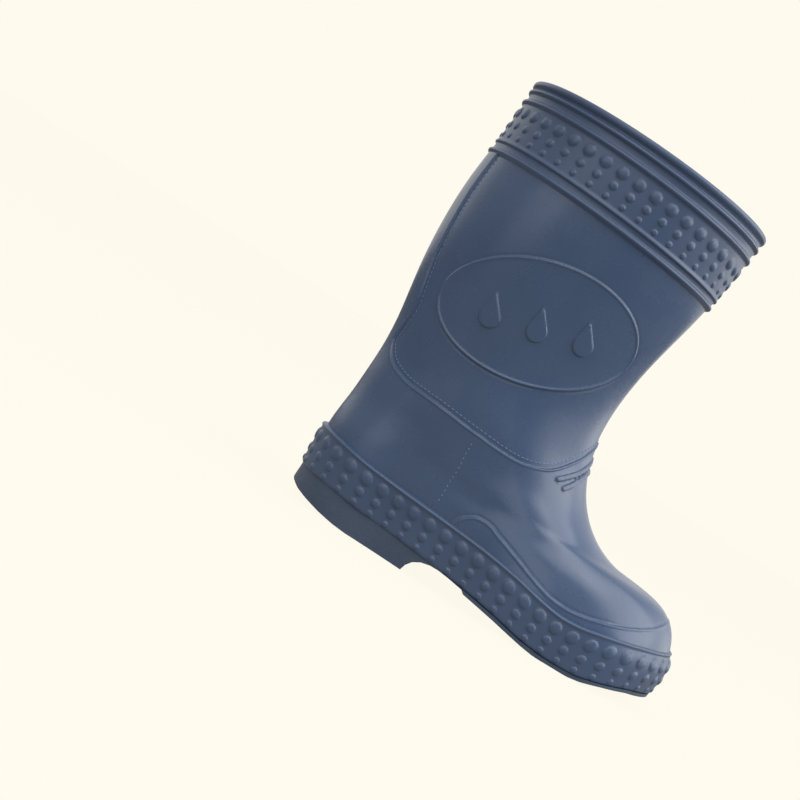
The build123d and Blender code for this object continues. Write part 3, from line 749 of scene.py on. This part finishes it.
def knit(name, tone):
    """Brushed tricot lining: fine wales and courses with a short nap."""
    n = Nodes(name)
    wave = n.add("ShaderNodeTexWave", wave_type="BANDS", bands_direction="Z", wave_profile="SIN")
    wave.inputs["Scale"].default_value = 420
    wave.inputs["Distortion"].default_value = 1.6
    wave.inputs["Detail"].default_value = 2.0
    wave.inputs["Detail Scale"].default_value = 2.5
    n.link(n.place, wave.inputs["Vector"])
    nap = n.noise(0.7, 3.0, 0.65)
    height = n.math("ADD", n.math("MULTIPLY", wave.outputs["Fac"], 0.5), nap)
    colour = n.ramp(n.math("ADD", n.math("MULTIPLY", nap, 0.7),
                           n.math("MULTIPLY", n.noise(18, 2.0), 0.3)),
                    (0.35, [c * 0.8 for c in tone]), (0.65, [c * 1.15 for c in tone]))
    return n.finish(colour, n.span(nap, 0.3, 0.7, 0.82, 0.98), n.bump(height, 0.16, 0.9),
                    Specular_IOR_Level=0.25, Sheen_Weight=0.35, Sheen_Roughness=0.5)


def foam(name, tone):
    """Cut foam edge with open pores; the colour is painted darker in the pores as shade."""
    n = Nodes(name)
    pores = n.cells(0.9)
    # darker colour at the pore centres: painted shade in the pores; the dimples are a bump
    colour = n.ramp(pores, (0.1, [c * 0.7 for c in tone]), (0.5, tone))
    return n.finish(colour, n.span(n.noise(1.5), 0.3, 0.7, 0.85, 0.97), n.bump(pores, 0.12, 0.8),
                    Specular_IOR_Level=0.3)


BLUE = (0.046, 0.078, 0.150)
GLOSS = moulded("boot_gloss_face", BLUE, 0.27, 0.035, 0.035)
BAND = moulded("boot_band_face", [c * 0.92 for c in BLUE], 0.37, 0.03, 0.04)
# the stitch dashes are raised geometry; their colour, the boot's blue made 1.9 times lighter, is a
# painted highlight
PAINTED_HIGHLIGHT_STITCH = moulded("boot_stitch_painted_highlight_face", [c * 1.9 for c in BLUE], 0.36, 0.01, 0.02)
MATT = eroded("sole_matt_face", (0.040, 0.062, 0.108), 0.55, 0.5, 0.05)
TREAD = eroded("sole_tread_face", (0.037, 0.058, 0.100), 0.46, 0.42, 0.03)
LINING = knit("lining_cloth_face", (0.052, 0.062, 0.094))
FOAM = foam("insole_foam_face", (0.30, 0.28, 0.24))


def dress(obj, material):
    if len(obj.material_slots) == 0:
        obj.data.materials.append(material)
    for slot in obj.material_slots:
        slot.link = "OBJECT"
        slot.material = material


for piece, material in (("leg_and_foot", GLOSS), ("studded_collar", BAND), ("studded_foxing", BAND),
                        ("seam_stitches", PAINTED_HIGHLIGHT_STITCH), ("side_stitches", PAINTED_HIGHLIGHT_STITCH)):
    dress(bpy.data.objects[piece], material)
for node, material in (("sole_core", MATT), ("heel_block", MATT), ("forefoot_outsole", TREAD),
                       ("lining", LINING), ("insole_foam", FOAM), ("insole_cloth", LINING)):
    dress(bpy.data.objects[node], material)


# ---------------------------------------------------------------- camera, floor and light
def look(obj, place, target, roll=0.0):
    f = (Vector(target) - Vector(place)).normalized()
    right = f.cross(Vector((0, 0, 1))).normalized()
    up = right.cross(f)
    r = right * cos(roll) + up * sin(roll)
    u = -right * sin(roll) + up * cos(roll)
    m = Matrix((r, u, -f)).transposed().to_4x4()
    m.translation = Vector(place)
    obj.matrix_world = m


def softbox(name, place, target, width, height, watts):
    light = bpy.data.lights.new(name, "AREA")
    light.shape = "RECTANGLE"
    light.size, light.size_y = width, height
    light.energy = watts
    obj = bpy.data.objects.new(name, light)
    bpy.context.scene.collection.objects.link(obj)
    look(obj, place, target)


CAMERA_X = (17.5 - MID_X) / 1000
CAMERA_BACK, CAMERA_UP, AIM_UP, CAMERA_ROLL = 0.548, 0.0717, 0.0455, radians(32)
cam_data = bpy.data.cameras.new("camera")
cam_data.lens = 73
cam_data.sensor_width = 36
cam_data.clip_start = 0.01
cam = bpy.data.objects.new("camera", cam_data)
bpy.context.scene.collection.objects.link(cam)
look(cam, (CAMERA_X, -CAMERA_BACK, CAMERA_UP), (CAMERA_X, 0, AIM_UP), CAMERA_ROLL)
bpy.context.scene.camera = cam

CREAM = (0.991, 0.956, 0.855, 1)


def studio_world():
    """Cream to the camera; to the boot, a white cove: bright above, behind and at the sides."""
    world = bpy.data.worlds.new("world")
    bpy.context.scene.world = world
    world.use_nodes = True
    tree = world.node_tree
    for node in list(tree.nodes):
        tree.nodes.remove(node)

    def add(kind, **values):
        node = tree.nodes.new(kind)
        for key, value in values.items():
            setattr(node, key, value)
        return node

    coord = add("ShaderNodeTexCoord")
    split = add("ShaderNodeSeparateXYZ")
    tree.links.new(coord.outputs["Generated"], split.inputs[0])

    def fade(axis, start, end, low, high):
        node = add("ShaderNodeMapRange", interpolation_type="SMOOTHSTEP")
        for key, value in (("From Min", start), ("From Max", end), ("To Min", low),
                           ("To Max", high)):
            node.inputs[key].default_value = value
        tree.links.new(split.outputs[axis], node.inputs["Value"])
        return node.outputs[0]

    above = fade("Z", 0.1, 0.9, 0.0, 0.6)
    behind = fade("Y", 0.0, 0.6, 0.0, 0.85)
    toe_side = fade("X", 0.5, 0.95, 0.05, 1.9)
    heel_side = fade("X", -0.3, -0.95, 0.0, 0.55)
    total = above
    for kind, part in (("MAXIMUM", behind), ("ADD", toe_side), ("ADD", heel_side)):
        node = add("ShaderNodeMath", operation=kind)
        tree.links.new(total, node.inputs[0])
        tree.links.new(part, node.inputs[1])
        total = node.outputs[0]
    cove = add("ShaderNodeBackground")
    cove.inputs[0].default_value = (1.0, 0.98, 0.95, 1)
    tree.links.new(total, cove.inputs[1])
    seen = add("ShaderNodeBackground")
    seen.inputs[0].default_value = CREAM
    path = add("ShaderNodeLightPath")
    mix = add("ShaderNodeMixShader")
    out = add("ShaderNodeOutputWorld")
    tree.links.new(path.outputs["Is Camera Ray"], mix.inputs[0])
    tree.links.new(cove.outputs[0], mix.inputs[1])
    tree.links.new(seen.outputs[0], mix.inputs[2])
    tree.links.new(mix.outputs[0], out.inputs[0])


studio_world()
softbox("top", (0.05, -0.42, 0.8), (0, 0, 0.07), 1.0, 0.7, 4.6)
softbox("toe_side", (0.66, -0.14, 0.66), (0.04, 0, 0.05), 0.8, 0.8, 4.4)
softbox("front", (-0.14, -0.85, 0.30), (0, 0, 0.04), 0.9, 0.34, 1.3)
softbox("heel_side", (-0.62, -0.72, 0.22), (-0.02, 0, 0.07), 0.42, 0.6, 0.7)

floor_mesh = bpy.data.meshes.new("floor")
floor_mesh.from_pydata([(-4, -4, 0), (4, -4, 0), (4, 4, 0), (-4, 4, 0)], [], [(0, 1, 2, 3)])
floor = bpy.data.objects.new("floor", floor_mesh)
bpy.context.scene.collection.objects.link(floor)


def floor_material():
    """Cream to the camera with a faint shadow; to the boot, dim and a little brighter near it."""
    n = Nodes("floor_face")
    n.shader.inputs["Base Color"].default_value = (0.8, 0.77, 0.7, 1)
    n.shader.inputs["Roughness"].default_value = 0.9
    path = n.add("ShaderNodeLightPath")
    glow = n.add("ShaderNodeEmission")
    glow.inputs["Color"].default_value = CREAM
    far = n.add("ShaderNodeVectorMath", operation="LENGTH")
    n.link(n.place, far.inputs[0])
    near = n.span(far.outputs["Value"], 0.2, 0.5, 0.4, 0.08)
    n.link(n.math("MAXIMUM", path.outputs["Is Camera Ray"], near), glow.inputs["Strength"])
    mix = n.add("ShaderNodeMixShader")
    n.link(n.span(path.outputs["Is Camera Ray"], 0.0, 1.0, 0.9, 0.97), mix.inputs[0])
    n.link(n.shader.outputs[0], mix.inputs[1])
    n.link(glow.outputs[0], mix.inputs[2])
    n.link(mix.outputs[0], n.tree.nodes["Material Output"].inputs[0])
    return n.mat


dress(floor, floor_material())
bpy.context.scene.view_settings.view_transform = "Standard"
